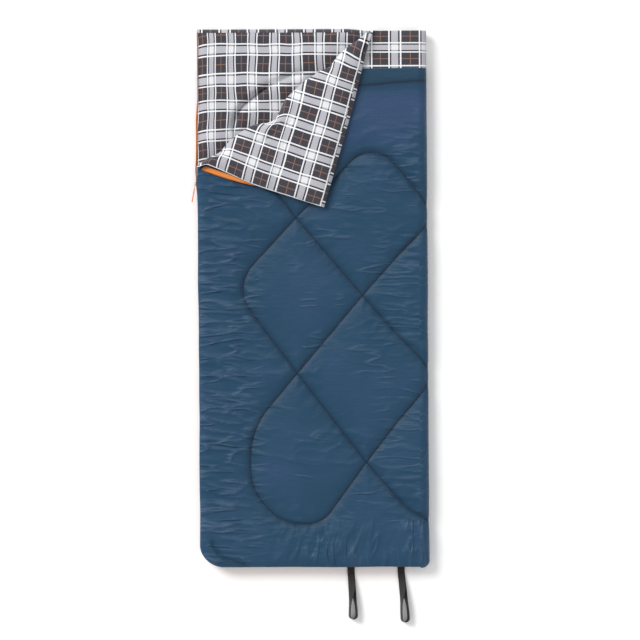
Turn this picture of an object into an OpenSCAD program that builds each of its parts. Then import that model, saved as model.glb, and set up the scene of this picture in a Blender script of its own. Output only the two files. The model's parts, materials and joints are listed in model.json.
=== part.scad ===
// Rectangular sleeping bag, lying flat.
// One padded blanket is folded along its right side. An L-shaped separating zip closes the left side
// and the foot. The cover's head corner is turned back over the cover, lining side up.
// Frame: +X towards the folded side, +Y towards the head, +Z up, origin under the middle.

/* [Bag] */
// Width of the closed bag, from the zip side to the folded side
bag_w = 800; // [700:5:950]
// Length of the closed bag from head to foot, without the webbing loops
bag_l = 1900; // [1700:10:2200]
// Thickness of one padded layer
layer_t = 26; // [22:1:40]
// Height of the sleeping space between the two layers
space_h = 10; // [9.5:0.5:20]
// Plan radius of the foot corner that the zip runs round
zip_corner_r = 88; // [60:1:140]
// Plan radius of the foot corner on the folded side
fold_corner_r = 28; // [10:1:50]

/* [Turned-back corner] */
// Distance from the zip side to the fold, along the head edge
turn_head = 630; // [450:5:690]
// Distance from the head to the fold, down the zip side
turn_side = 487; // [350:2:600]

/* [Cloth] */
// Thickness of a skin of cloth
skin_t = 1; // [0.5:0.1:2]
// Depth of the plaid collar round the head
collar_d = 141; // [80:1:200]
// Depth of the plain hem band below the collar
hem_d = 52; // [20:1:80]
// Width of the padded strip that turns round the folded side
fold_strip_w = 14; // [8:1:20]
// Width of a line of quilting thread
thread_w = 1.6; // [0.8:0.1:3]

/* [Zip] */
// Visible width of one zip tape
tape_w = 18; // [12:0.5:18]
// Thickness of a zip tape
tape_t = 1; // [0.6:0.1:1.4]
// Length of the slider
slider_l = 13; // [10:0.5:16]
// Distance of the slider below the turned-back corner
slider_drop = 55; // [15:1:60]
// Distance between the end of the zip and the folded side, along the foot
zip_end_gap = 60; // [40:1:120]
// Resting angle of the pull away from the bag's side
pull_splay = 10; // [4:1:20]

/* [Webbing loops] */
// Width of the webbing
web_w = 25; // [20:1:30]
// Thickness of one ply of webbing
web_t = 1.6; // [1.2:0.1:2.2]
// Reach of the loop next to the zip side, beyond the foot
left_reach = 178; // [150:1:190]
// Reach of the loop next to the folded side, beyond the foot
right_reach = 190; // [190:1:230]
// Distance from the zip side to the middle of the left loop
left_loop_at = 535; // [300:5:600]
// Distance from the zip side to the middle of the right loop
right_loop_at = 711; // [650:1:730]
// Angle at which the left loop lies, away from the zip side
left_lean = 2.5; // [0:0.5:8]
// Angle at which the right loop lies, away from the zip side
right_lean = 4.5; // [0:0.5:8]

/* [Hidden] */
$fn = 64;
big = 4000;     // larger than the bag, for cutting
eps = 0.01;
body_gap = 0.6; // half of the gap between two bodies at a hinge

// Plan
pull_out = 18;  // how far the pull stands out beyond the zip side
zip_x = pull_out - (bag_w + pull_out) / 2;
fold_x = zip_x + bag_w;
head_y = (bag_l + right_reach) / 2;
foot_y = head_y - bag_l;
collar_y = head_y - collar_d;
hem_y = collar_y - hem_d;
slab_x = fold_x - fold_strip_w; // where the flat layers end and the folded side begins

// Heights
base_top = layer_t;
cover_bottom = base_top + space_h;
cover_top = cover_bottom + layer_t;
mid_z = (base_top + cover_bottom) / 2;
flap_axis_z = cover_top + 0.5;

// The line that the corner folds over
turn_a = [zip_x, head_y - turn_side];
turn_b = [zip_x + turn_head, head_y];
turn_dir = (turn_b - turn_a) / norm(turn_b - turn_a);
turn_out = [-turn_dir.y, turn_dir.x]; // towards the head corner
turn_angle = atan2(turn_dir.y, turn_dir.x);

// Zip chain, seen along its length: the tapes stand on edge against the side
coil_out = 1.7;   // from the side, outwards
coil_in = 0.7;    // from the side, inwards
coil_h = 2.2;
coil_split = 1;   // half of the gap that the slider's divider runs in
base_coil_z = mid_z - coil_split - coil_h;
cover_coil_z = mid_z + coil_split;
slider_w = 8;
slider_y = turn_a.y - slider_drop;
plate_t = 1.3;
plate_clear = 0.6;
divider_t = 1.2;
bail_w = 2.4;
bail_h = 4;
bail_t = 1;
bar_r = 0.7;      // the pull's crossbar, inside the bail
rail_w = 1.3;
pull_x = zip_x - coil_out - plate_clear - plate_t - 1.5;
pull_tab_l = 22;
pull_grip_l = 48;
stop_l = 3;

// Webbing loops
strap_z = 3;
root_l = 8;
hinge_gap = 0.4;
strap_l = 50;
neck_at = 95;
eye_r = 14;
neck_w = 14;

// Quilting, as distances from the zip side and down from the head.
// Each line is a run of corners, and each inner corner has a radius.
quilt_lines = [
    [[[250, 193], [100, 325], [350, 665], [579, 935], [800, 1188]],
     [100, 300, 400]],
    [[[800, 591], [587, 354], [350, 665], [124, 904], [348, 1205], [588, 1519], [800, 1725]],
     [137, 300, 126, 500, 500]],
    [[[800, 687], [579, 935], [348, 1205], [118, 1560], [400, 1800], [588, 1519], [800, 1246]],
     [400, 400, 183, 183, 400]]
];

shell_blue = [0.18, 0.31, 0.42];
hem_blue = [0.16, 0.28, 0.38];
plaid_grey = [0.62, 0.62, 0.66];
batting_white = [0.93, 0.93, 0.92];
thread_navy = [0.08, 0.14, 0.22];
zip_orange = [0.90, 0.54, 0.21];
metal_grey = [0.55, 0.56, 0.58];
web_black = [0.11, 0.11, 0.12];

// ---------- Outlines ----------

// What a round corner takes off a square one; side is +1 where the bag lies towards +X
module corner_waste(corner, r, side) {
    difference() {
        translate([corner.x - (side > 0 ? eps : r), corner.y - eps]) square([r + eps, r + eps]);
        translate([corner.x + side * r, corner.y + r]) circle(r);
    }
}

// The bag's plan, grown outwards on every side
module bag2d(grow = 0) {
    difference() {
        translate([zip_x - grow, foot_y - grow]) square([bag_w + 2 * grow, bag_l + 2 * grow]);
        corner_waste([zip_x - grow, foot_y - grow], zip_corner_r + grow, 1);
        corner_waste([fold_x + grow, foot_y - grow], fold_corner_r + grow, -1);
    }
}

// Everything beyond the turned-back corner's fold, starting a distance past it
module beyond_turn(distance) {
    translate(turn_a + turn_out * distance) rotate(turn_angle)
        translate([-big, 0]) square([2 * big, big]);
}

// The plan of one padded layer, drawn in by inset except at the folded side
module layer2d(part, inset = 0) {
    intersection() {
        bag2d(-inset);
        translate([-big, -big]) square([big + slab_x, 2 * big]);
        if (part == "cover")
            translate(turn_a - turn_out * (body_gap + inset)) rotate(turn_angle)
                translate([-big, -big]) square([2 * big, big]);
        if (part == "flap") beyond_turn(body_gap + inset);
    }
}

// A strip of the plan across the bag, between two distances along Y
module across(y0, y1) {
    translate([-big, y0]) square([2 * big, y1 - y0]);
}

// ---------- Padded layers, in the closed bag's place ----------

function layer_z(part) = part == "base" ? 0 : cover_bottom;
function skin_z(part) = part == "base" ? 0 : cover_bottom + skin_t;
function fill_z(part) = layer_z(part) + skin_t;
function lining_z(part) = part == "base" ? base_top - skin_t : cover_bottom;

// The outer skin with its turned-in sides, between two distances along Y
module outer_skin(part, y0, y1) {
    difference() {
        translate([0, 0, skin_z(part)]) linear_extrude(layer_t - skin_t)
            intersection() { layer2d(part); across(y0, y1); }
        translate([0, 0, fill_z(part) - (part == "base" ? 0 : eps)])
            linear_extrude(layer_t - 2 * skin_t + eps) layer2d(part, skin_t);
    }
}

module batting(part) {
    translate([0, 0, fill_z(part)]) linear_extrude(layer_t - 2 * skin_t) layer2d(part, skin_t);
}

module lining(part) {
    translate([0, 0, lining_z(part)]) linear_extrude(skin_t) layer2d(part);
}

// The lower half of the padded strip that turns round the folded side
module side_fold() {
    half_h = mid_z - body_gap / 2;
    intersection() {
        translate([slab_x, head_y, 0]) rotate([90, 0, 0]) linear_extrude(bag_l) difference() {
            square([fold_strip_w, half_h]);
            corner_waste([fold_strip_w, 0], fold_strip_w, -1);
        }
        linear_extrude(cover_top) bag2d();
    }
}

// Lays children, built in the closed bag's place, back over the cover
module turned_back() {
    translate([turn_a.x, turn_a.y, flap_axis_z])
        rotate(a = 180, v = [turn_dir.x, turn_dir.y, 0])
            translate([-turn_a.x, -turn_a.y, -flap_axis_z]) children();
}

// ---------- Quilting thread ----------

function turned(v, a) = [v.x * cos(a) - v.y * sin(a), v.x * sin(a) + v.y * cos(a)];

// The arc of radius r that rounds corner b of the path a, b, c
function fillet(a, b, c, r, steps = 8) =
    let(
        u = (a - b) / norm(a - b),
        v = (c - b) / norm(c - b),
        half = acos(u * v) / 2,
        centre = b + (u + v) / norm(u + v) * r / sin(half),
        start = b + u * r / tan(half) - centre,
        side = sign(cross(u, v))
    )
    [for (i = [0:steps]) centre + turned(start, -side * (180 - 2 * half) * i / steps)];

function rounded(points, radii) = [
    points[0],
    for (i = [1:len(points) - 2]) each fillet(points[i - 1], points[i], points[i + 1], radii[i - 1]),
    points[len(points) - 1]
];

function heading(path, i) =
    let(d = path[min(i + 1, len(path) - 1)] - path[max(i - 1, 0)]) d / norm(d);

// The outline of a ribbon of width w along a path
function ribbon(path, w) = [
    for (i = [0:len(path) - 1]) path[i] + turned(heading(path, i), 90) * w / 2,
    for (i = [len(path) - 1:-1:0]) path[i] - turned(heading(path, i), 90) * w / 2
];

// Quilting lines as a layer of thread, from height z
module quilt_thread(part, z, h = 0.4) {
    intersection() {
        translate([0, 0, z]) linear_extrude(h) layer2d(part, skin_t);
        for (line = quilt_lines)
            translate([zip_x, head_y, z]) linear_extrude(h) mirror([0, 1, 0])
                polygon(ribbon(rounded(line[0], line[1]), thread_w));
    }
}

// ---------- Zip ----------

// A band of the plan's edge that follows the zip, from distance y1 down to the end of the foot
module zip_path2d(grow_out, grow_in, y1) {
    intersection() {
        difference() { bag2d(grow_out); bag2d(grow_in); }
        translate([-big, -big]) square([big + fold_x - zip_end_gap, big + y1]);
    }
}

module zip_tape(z, h, y1) {
    translate([0, 0, z]) linear_extrude(h) zip_path2d(tape_t, 0, y1);
}

module zip_coil(z, y1) {
    translate([0, 0, z]) linear_extrude(coil_h) zip_path2d(coil_out, -coil_in, y1);
}

// The turned-back corner's zip lies flat, beyond its edge
module flat_zip(x0, x1, z0, z1) {
    y0 = turn_a.y + 4;
    turned_back() translate([x0, y0, z0]) cube([x1 - x0, head_y - 6 - y0, z1 - z0]);
}

module zip_stop() {
    cube([coil_out + coil_in, stop_l, coil_h]);
}

// A block at the end of the zip along the foot, between two heights
module zip_end_block(l, z0, z1) {
    translate([fold_x - zip_end_gap, foot_y - coil_out, z0])
        cube([l, coil_out + coil_in, z1 - z0]);
}

// Two plates with a divider between them, and a bail on the outer plate that holds the pull
module slider() {
    outer_x = zip_x - coil_out - plate_clear;
    inner_x = zip_x + coil_in + plate_clear;
    z0 = mid_z - slider_w / 2;
    translate([outer_x - plate_t, slider_y - slider_l / 2, z0]) cube([plate_t, slider_l, slider_w]);
    translate([inner_x, slider_y - slider_l / 2, z0]) cube([plate_t, slider_l, slider_w]);
    translate([outer_x - eps, slider_y + slider_l / 2 - 4, mid_z - divider_t / 2])
        cube([inner_x - outer_x + 2 * eps, 4, divider_t]);
    translate([outer_x - plate_t + eps, slider_y, mid_z - bail_w / 2]) linear_extrude(bail_w)
        difference() {
            translate([-bail_h, -slider_l / 2 + 1]) square([bail_h, slider_l - 2]);
            translate([-bail_h + bail_t, -slider_l / 2 + 1 + bail_t])
                square([bail_h, slider_l - 2 - 2 * bail_t]);
        }
}

// Places children that are built along -Y from the pull's crossbar
module at_pull() {
    translate([pull_x, slider_y, mid_z]) rotate([0, 0, -pull_splay]) children();
}

// Two rails on a crossbar, joined into a tab with an eye for the grip
module pull_tab() {
    gap = bail_w + 2;
    width = gap + 2 * rail_w;
    at_pull() {
        translate([0, 0, -width / 2]) cylinder(r = bar_r, h = width, $fn = 24);
        for (z = [-width / 2, gap / 2])
            translate([-bar_r, -7.5, z]) cube([2 * bar_r, 7.5, rail_w]);
        translate([-bar_r, -pull_tab_l, -width / 2]) cube([2 * bar_r, pull_tab_l - 7, width]);
    }
}

module pull_grip() {
    difference() {
        at_pull() translate([0, -pull_tab_l + 5 - pull_grip_l, 0]) rotate([0, 90, 0])
            translate([0, 0, -1.75]) linear_extrude(3.5) {
                translate([-3.5, 3.5]) square([7, pull_grip_l - 3.5]);
                translate([0, 3.5]) circle(3.5);
            }
        pull_tab();
    }
}

// ---------- Webbing loops ----------

// Places children at a loop's root, on the floor, built along -Y
module at_loop(distance) {
    translate([zip_x + distance, foot_y, 0]) children();
}

module loop_root(distance) {
    at_loop(distance) translate([-web_w / 2, -root_l, strap_z]) cube([web_w, root_l, 2 * web_t]);
}

module teardrop2d(reach, r, tail_w, tail_at) {
    hull() {
        translate([-tail_w / 2, -tail_at]) square([tail_w, eps]);
        translate([0, -reach + eye_r + web_t]) circle(r, $fn = 32);
    }
}

// Two flat plies that turn on edge and open into an eye
module web_loop(distance, reach, lean) {
    start = root_l + hinge_gap + web_w / 2 * sin(lean);
    at_loop(distance) translate([0, -start, 0]) rotate([0, 0, lean]) translate([0, start, 0]) {
        translate([-web_w / 2, -strap_l, strap_z]) cube([web_w, strap_l - start - 0.6, 2 * web_t]);
        hull() {
            translate([-web_w / 2, -strap_l - eps, strap_z]) cube([web_w, eps, 2 * web_t]);
            translate([-neck_w / 2, -neck_at, 0]) cube([neck_w, eps, web_w]);
        }
        linear_extrude(web_w) difference() {
            teardrop2d(reach, eye_r + web_t, neck_w, neck_at);
            teardrop2d(reach, eye_r, 1, neck_at + 5);
        }
    }
}

// ---------- Nodes ----------

module base_shell() { color(shell_blue) outer_skin("base", foot_y, hem_y); }
module base_hem_band() { color(hem_blue) outer_skin("base", hem_y, collar_y); }
module base_collar() { color(plaid_grey) outer_skin("base", collar_y, head_y); }
module base_batting() { color(batting_white) batting("base"); }
module base_lining() { color(plaid_grey) lining("base"); }
module base_side_fold() { color(shell_blue) side_fold(); }
module base_quilt_thread() { color(thread_navy) quilt_thread("base", base_top); }
module base_zip_tape() {
    color(zip_orange) zip_tape(base_coil_z - tape_w, tape_w, head_y - 6);
}
module base_zip_coil() { color(zip_orange) zip_coil(base_coil_z, head_y - 6 - stop_l); }
module base_zip_stop() {
    color(metal_grey) translate([zip_x - coil_out, head_y - 6 - stop_l, base_coil_z]) zip_stop();
}
module zip_retainer_box() { color(metal_grey) zip_end_block(9, base_coil_z, mid_z - body_gap / 2); }

module cover_shell() { color(shell_blue) outer_skin("cover", foot_y, hem_y); }
module cover_hem_band() { color(hem_blue) outer_skin("cover", hem_y, collar_y); }
module cover_collar() { color(plaid_grey) outer_skin("cover", collar_y, head_y); }
module cover_batting() { color(batting_white) batting("cover"); }
module cover_lining() { color(plaid_grey) lining("cover"); }
module cover_side_fold() {
    color(shell_blue) translate([0, 0, 2 * mid_z]) mirror([0, 0, 1]) side_fold();
}
module cover_quilt_thread() { color(thread_navy) quilt_thread("cover", cover_top); }
module cover_zip_tape() {
    color(zip_orange) zip_tape(cover_coil_z + coil_h, tape_w, turn_a.y - 2);
}
module cover_zip_coil() { color(zip_orange) zip_coil(cover_coil_z, turn_a.y - 2); }
module zip_insertion_pin() {
    color(metal_grey) zip_end_block(7, mid_z + body_gap / 2, cover_coil_z + coil_h);
}

module flap_shell() { color(shell_blue) turned_back() outer_skin("flap", foot_y, hem_y); }
module flap_hem_band() { color(hem_blue) turned_back() outer_skin("flap", hem_y, collar_y); }
module flap_collar() { color(plaid_grey) turned_back() outer_skin("flap", collar_y, head_y); }
module flap_batting() { color(batting_white) turned_back() batting("flap"); }
module flap_lining() { color(plaid_grey) turned_back() lining("flap"); }
module flap_quilt_thread() {
    color(thread_navy) turned_back() quilt_thread("flap", cover_bottom - 0.4);
}
module flap_zip_tape() {
    z = cover_bottom + layer_t / 2;
    color(zip_orange) flat_zip(zip_x - tape_w + 4, zip_x, z - tape_t / 2, z + tape_t / 2);
}
module flap_zip_coil() {
    x1 = zip_x - tape_w + 4;
    z = cover_bottom + layer_t / 2;
    color(zip_orange) flat_zip(x1 - coil_h, x1, z - coil_h / 2, z + coil_h / 2);
}
module flap_zip_stop() {
    z = cover_bottom + layer_t / 2;
    color(metal_grey) turned_back()
        translate([zip_x - tape_w + 4 - coil_h, head_y - 6, z - coil_h / 2])
            cube([coil_h, stop_l, coil_h]);
}

module zip_slider() { color(metal_grey) slider(); }
module zip_pull_tab() { color(metal_grey) pull_tab(); }
module zip_pull_grip() { color(zip_orange) pull_grip(); }

module loop_left_root() { color(web_black) loop_root(left_loop_at); }
module loop_left() { color(web_black) web_loop(left_loop_at, left_reach, left_lean); }
module loop_right_root() { color(web_black) loop_root(right_loop_at); }
module loop_right() { color(web_black) web_loop(right_loop_at, right_reach, right_lean); }

base_shell();
base_hem_band();
base_collar();
base_batting();
base_lining();
base_side_fold();
base_quilt_thread();
base_zip_tape();
base_zip_coil();
base_zip_stop();
zip_retainer_box();
cover_shell();
cover_hem_band();
cover_collar();
cover_batting();
cover_lining();
cover_side_fold();
cover_quilt_thread();
cover_zip_tape();
cover_zip_coil();
zip_insertion_pin();
flap_shell();
flap_hem_band();
flap_collar();
flap_batting();
flap_lining();
flap_quilt_thread();
flap_zip_tape();
flap_zip_coil();
flap_zip_stop();
zip_slider();
zip_pull_tab();
zip_pull_grip();
loop_left_root();
loop_left();
loop_right_root();
loop_right();
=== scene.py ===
"""Looks of a rectangular sleeping bag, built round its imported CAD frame. Units are metres."""
import json
import math

import bmesh
import bpy
import numpy as np
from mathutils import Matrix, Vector


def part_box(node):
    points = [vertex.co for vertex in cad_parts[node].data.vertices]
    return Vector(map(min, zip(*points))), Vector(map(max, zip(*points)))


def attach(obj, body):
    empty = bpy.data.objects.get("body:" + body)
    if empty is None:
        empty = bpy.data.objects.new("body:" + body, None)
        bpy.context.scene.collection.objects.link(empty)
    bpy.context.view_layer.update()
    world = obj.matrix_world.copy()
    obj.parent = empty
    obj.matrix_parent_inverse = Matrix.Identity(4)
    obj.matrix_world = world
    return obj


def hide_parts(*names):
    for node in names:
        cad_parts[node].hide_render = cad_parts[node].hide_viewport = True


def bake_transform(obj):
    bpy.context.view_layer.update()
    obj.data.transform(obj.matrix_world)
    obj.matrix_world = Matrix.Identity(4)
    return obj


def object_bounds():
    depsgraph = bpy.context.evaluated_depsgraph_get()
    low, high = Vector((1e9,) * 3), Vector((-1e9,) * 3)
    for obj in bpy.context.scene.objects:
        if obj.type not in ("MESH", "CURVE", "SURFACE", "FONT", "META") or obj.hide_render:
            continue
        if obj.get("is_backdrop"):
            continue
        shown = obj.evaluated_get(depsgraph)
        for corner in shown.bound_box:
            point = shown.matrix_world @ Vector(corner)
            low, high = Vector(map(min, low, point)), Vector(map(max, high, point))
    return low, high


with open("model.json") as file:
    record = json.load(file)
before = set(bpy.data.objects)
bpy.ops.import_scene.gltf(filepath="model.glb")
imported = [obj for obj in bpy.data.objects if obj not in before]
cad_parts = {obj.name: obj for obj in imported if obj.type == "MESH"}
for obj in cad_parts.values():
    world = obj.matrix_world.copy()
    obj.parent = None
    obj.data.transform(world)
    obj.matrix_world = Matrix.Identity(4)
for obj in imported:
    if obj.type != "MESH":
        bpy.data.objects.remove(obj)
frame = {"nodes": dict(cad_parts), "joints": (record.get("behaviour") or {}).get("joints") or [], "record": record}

CAD_BOX = [list(corner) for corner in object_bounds()]
MM = 0.001
SEED = 7

# ---------- Measures taken from the frame ----------

JOINTS = {joint["name"]: joint for joint in frame["joints"]}
ZIP_X, FOOT_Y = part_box("base_lining")[0][:2]
HEAD_Y, BASE_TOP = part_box("base_lining")[1][1:]
FOLD_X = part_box("base_side_fold")[1].x
COLLAR_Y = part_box("base_collar")[0].y
HEM_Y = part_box("base_hem_band")[0].y
COVER_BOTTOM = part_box("cover_lining")[0].z
COVER_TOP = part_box("cover_shell")[1].z
MID_Z = (BASE_TOP + COVER_BOTTOM) / 2
BASE_COIL_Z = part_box("base_zip_coil")[1].z
COVER_COIL_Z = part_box("cover_zip_coil")[0].z
ZIP_END_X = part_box("base_zip_tape")[1].x
ZIP_HEAD_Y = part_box("base_zip_tape")[1].y
SLIDER_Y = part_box("zip_slider")[1].y
TURN_Z = JOINTS["corner_fold"]["pos_m"][2]
TURN_MID = np.array(JOINTS["corner_fold"]["pos_m"][:2])
TURN_DIR = -np.array(JOINTS["corner_fold"]["axis"][:2])
TURN_OUT = np.array([-TURN_DIR[1], TURN_DIR[0]])
TURN_START_Y = TURN_MID[1] - TURN_DIR[1] * (TURN_MID[0] - ZIP_X) / TURN_DIR[0]

# ---------- Measures of the cloth ----------

ZIP_CORNER_R = 88 * MM
FOLD_CORNER_R = 28 * MM
ROLL_R = 31 * MM           # outer radius of the folded side
INNER_ROLL_R = 19 * MM     # how far the lining reaches into the folded side
SEAM_DROP = 11.5 * MM      # zipped edges lie this far above and below the middle
HEAD_SEAM = 18 * MM        # head edges lie this far above and below the middle
SEAM_TUCK = 6 * MM         # zipped edges are drawn in this far under the padding
RIM_W = 38 * MM            # the padding rounds off over this distance from an edge
ROLL_SWELL = 8 * MM        # the folded side's padding swells out past the cloth's width
LEAN = 0.0027              # the bag lies a little askew, its foot further towards the folded side
FOOT_TUCK = 11 * MM        # the foot's padding draws its edge in
HEAD_TUCK = 9 * MM         # and so does the cover's head edge beside the fold
WRAP = 13 * MM             # the collar turns round the head edge onto the lining
LOFT = 11 * MM             # how far the padding stands above its quilting
LOFT_REACH = 70 * MM       # the padding is full this far from a seam, as the painted seam shade and crown highlight see it
FOLD_HALF = 55 * MM        # cloth this near the corner's fold lies on its roll
SHELL_FOLD_HALF = 60 * MM
FLAP_SHEAR = 0.085         # the turned corner leans this much towards the zip side
FLAP_SLIP = 16 * MM        # and its head end has slipped this far along the fold
DROOP_W = 70 * MM          # the turned corner's edges sag over this distance
FLAP_REST = 4 * MM         # and stop this far above the cover

# ---------- Noise ----------


def lattice_noise(x, y, seed):
    """Smooth noise between -1 and 1, with one random value at each whole number of x and y."""
    table = np.random.RandomState(seed).uniform(-1, 1, (64, 64))
    x0, y0 = np.floor(x).astype(int), np.floor(y).astype(int)
    fx, fy = x - x0, y - y0
    fx, fy = fx ** 3 * (fx * (fx * 6 - 15) + 10), fy ** 3 * (fy * (fy * 6 - 15) + 10)
    corner = lambda i, j: table[(x0 + i) % 64, (y0 + j) % 64]
    low = corner(0, 0) * (1 - fx) + corner(1, 0) * fx
    high = corner(0, 1) * (1 - fx) + corner(1, 1) * fx
    return low * (1 - fy) + high * fy


def noise(x, y, size_x, size_y, seed, octaves=2):
    """Noise with features about size_x by size_y, and finer ones on them."""
    total, gain = 0, 1
    for octave in range(octaves):
        total = total + gain * lattice_noise(x / size_x, y / size_y, seed + 31 * octave)
        size_x, size_y, gain = size_x / 2.1, size_y / 2.1, gain * 0.5
    return total / (2 - 0.5 ** (octaves - 1))


def creases(x, y, size_x, size_y, seed):
    """Noise with ridges, as in creased cloth, between 0 and 1."""
    return (1 - np.abs(noise(x, y, size_x, size_y, seed))) ** 4


def ramp(value, start, end):
    t = np.clip((value - start) / (end - start), 0, 1)
    return t * t * (3 - 2 * t)


def bell(value, middle, width):
    return np.exp(-((value - middle) / width) ** 2)


def rim(t):
    """A quarter circle: 0 at t = 0, where it is upright, and 1 from t = 1 on, where it is level."""
    return np.sqrt(1 - (1 - np.clip(t, 0, 1)) ** 2)


# ---------- Quilting lines ----------

# Distances from the zip side and down from the head, in mm, with the radius at each inner corner
QUILT_LINES = [
    ([(250, 193), (100, 325), (350, 665), (579, 935), (800, 1188)],
     [100, 300, 400]),
    ([(800, 617), (624, 382), (350, 660), (124, 904), (348, 1205), (588, 1519), (735, 1688), (812, 1730)],
     [102, 300, 126, 500, 500, 150]),
    ([(800, 687), (579, 935), (183, 1402), (183, 1618), (300, 1735), (430, 1735), (588, 1519), (800, 1246)],
     [400, 280, 190, 150, 110, 400]),
]
TUCK_LINE = ([(430, 148), (330, 160), (250, 193)], [100])   # a soft tuck that runs on from the first
CREASE_LINE = ([(48, 1800), (72, 1858), (160, 1886)], [60])  # a deep crease across the foot corner


def fillet(a, b, c, radius, steps=14):
    """Points of the arc that rounds corner b of the path a, b, c."""
    u, v = (a - b) / np.linalg.norm(a - b), (c - b) / np.linalg.norm(c - b)
    half = math.acos(float(np.clip(u @ v, -1, 1))) / 2
    centre = b + (u + v) / np.linalg.norm(u + v) * radius / math.sin(half)
    spoke = b + u * radius / math.tan(half) - centre
    side = -np.sign(u[0] * v[1] - u[1] * v[0])
    points = []
    for i in range(steps + 1):
        angle = side * (math.pi - 2 * half) * i / steps
        turn = np.array([[math.cos(angle), -math.sin(angle)], [math.sin(angle), math.cos(angle)]])
        points.append(centre + turn @ spoke)
    return points


def rounded_path(corners, radii):
    corners = [np.array([ZIP_X + x * MM, HEAD_Y - y * MM]) for x, y in corners]
    path = [corners[0]]
    for i, radius in enumerate(radii):
        path += fillet(corners[i], corners[i + 1], corners[i + 2], radius * MM)
    return np.array(path + [corners[-1]])


PATHS = [rounded_path(*line) for line in QUILT_LINES]
TUCK = rounded_path(*TUCK_LINE)
CREASE = rounded_path(*CREASE_LINE)


def to_paths(paths, x, y):
    """Distance to the nearest path, and a length along it that tells its two sides apart."""
    best = np.full(x.shape, 9.0)
    along = np.zeros(x.shape)
    start = 0.0
    for path in paths:
        for p, q in zip(path[:-1], path[1:]):
            d = q - p
            length = np.linalg.norm(d)
            across_x, across_y = x - p[0], y - p[1]
            t = np.clip((across_x * d[0] + across_y * d[1]) / length ** 2, 0, 1)
            away = np.hypot(across_x - t * d[0], across_y - t * d[1])
            near = away < best
            best = np.where(near, away, best)
            side = across_x * d[1] > across_y * d[0]
            along = np.where(near, start + t * length + 50 * side, along)
            start += length
        start += 100
    return best, along


def to_quilting(x, y):
    return to_paths(PATHS, x, y)


# ---------- The bag's outline ----------


def corner_inset(y, radius):
    """How far a rounded corner at the foot draws the side in."""
    rise = np.clip(radius - (y - FOOT_Y), 0, radius)
    return radius - np.sqrt(radius * radius - rise * rise)


def left_edge(y):
    return ZIP_X + corner_inset(y, ZIP_CORNER_R)


def right_edge(y):
    return FOLD_X - corner_inset(y, FOLD_CORNER_R)


def edge_distance(x, y):
    """Distance inside the outline from the zip side and the foot, round their corner."""
    left, foot = x - ZIP_X, y - FOOT_Y
    away = np.minimum(left, foot)
    r = ZIP_CORNER_R
    away = np.where((left < r) & (foot < r), r - np.hypot(r - left, r - foot), away)
    return np.maximum(away, 0)


def waved(x, y):
    """The outline's slight unevenness, which carries the cloth beside it."""
    left = 1 - ramp(x - ZIP_X, 0.02, 0.12)
    right = ramp(x - FOLD_X, -0.12, -0.02)
    tugs = sum(bell(y, HEAD_Y - d * MM, 22 * MM) for d in (617, 687, 1188, 1246, 1727))
    dx = left * noise(y, 0 * y, 0.17, 1, SEED + 1) * 1.6 * MM
    dx = dx + right * (ROLL_SWELL - tugs * 1.8 * MM + noise(y, 0 * y, 0.15, 1, SEED + 2) * 1.2 * MM)
    dx = dx - LEAN * (y - (HEAD_Y + FOOT_Y) / 2)
    foot = ramp(FOOT_Y - y, -0.15, -0.02)
    dy = foot * (FOOT_TUCK + noise(x, 0 * x, 0.13, 1, SEED + 3) * 1.2 * MM)
    dy = dy - HEAD_TUCK * ramp(x - ZIP_X, 0.52, 0.64) * ramp(y - HEAD_Y, -0.13, 0)
    dy = dy + bell(y, HEM_Y, 32 * MM) * (16 * ramp(x - ZIP_X, 0.55, 0.80) - 8) * MM
    r = ZIP_CORNER_R
    way_x, way_y = np.maximum(r - (x - ZIP_X), 0) + 1e-9, np.maximum(r - (y - FOOT_Y), 0) + 1e-9
    way = np.hypot(way_x, way_y)
    tuck = SEAM_TUCK * np.exp(-edge_distance(x, y) / (2.2 * MM)) * (x < FOLD_X - ROLL_R)
    tuck = tuck * (1 - 0.9 * bell(y, SLIDER_Y, 45 * MM))
    return x + dx + tuck * way_x / way, y + dy + tuck * way_y / way


# ---------- Cloth simulation of the cover's quilting ----------

SIM_STEP = 8 * MM
SIM_FRAMES = 25
SIM_CAP, SIM_GAIN = 7 * MM, 1.7   # the creases that the cloth makes are deepened by the gain


def sim_panel():
    """A flat panel of the cover, with its rest shape cut longer than the space it is sewn into."""
    xs = np.arange(ZIP_X, FOLD_X + SIM_STEP / 2, SIM_STEP)
    ys = np.arange(FOOT_Y, HEM_Y + SIM_STEP / 2, SIM_STEP)
    x, y = np.meshgrid(xs, ys)
    away = to_quilting(x, y)[0]
    edge = np.minimum.reduce([x - ZIP_X, FOLD_X - x, y - FOOT_Y, HEM_Y - y])
    z = 8 * MM * (1 - np.exp(-away / 0.03)) + noise(x, y, 0.05, 0.028, 11) * 1.2 * MM
    verts = np.stack([x.ravel(), y.ravel(), z.ravel()], 1)
    panel = mesh_object("sim_panel", verts, grid_faces(*x.shape))
    slack = 0.004 + 0.05 * (1 - ramp(x - ZIP_X, 0.13, 0.27)) + 0.03 * ramp(x - ZIP_X, 0.64, 0.76)
    rest = verts.copy()
    rest[:, 0] = ZIP_X + (rest[:, 0] - ZIP_X) * 1.002
    rest[:, 1] = (FOOT_Y + (y - FOOT_Y) * (1 + slack)).ravel()
    pinned = np.nonzero(((away < 4.5 * MM) | (edge < 6 * MM)).ravel())[0]
    return panel, rest, [int(i) for i in pinned], z


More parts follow.
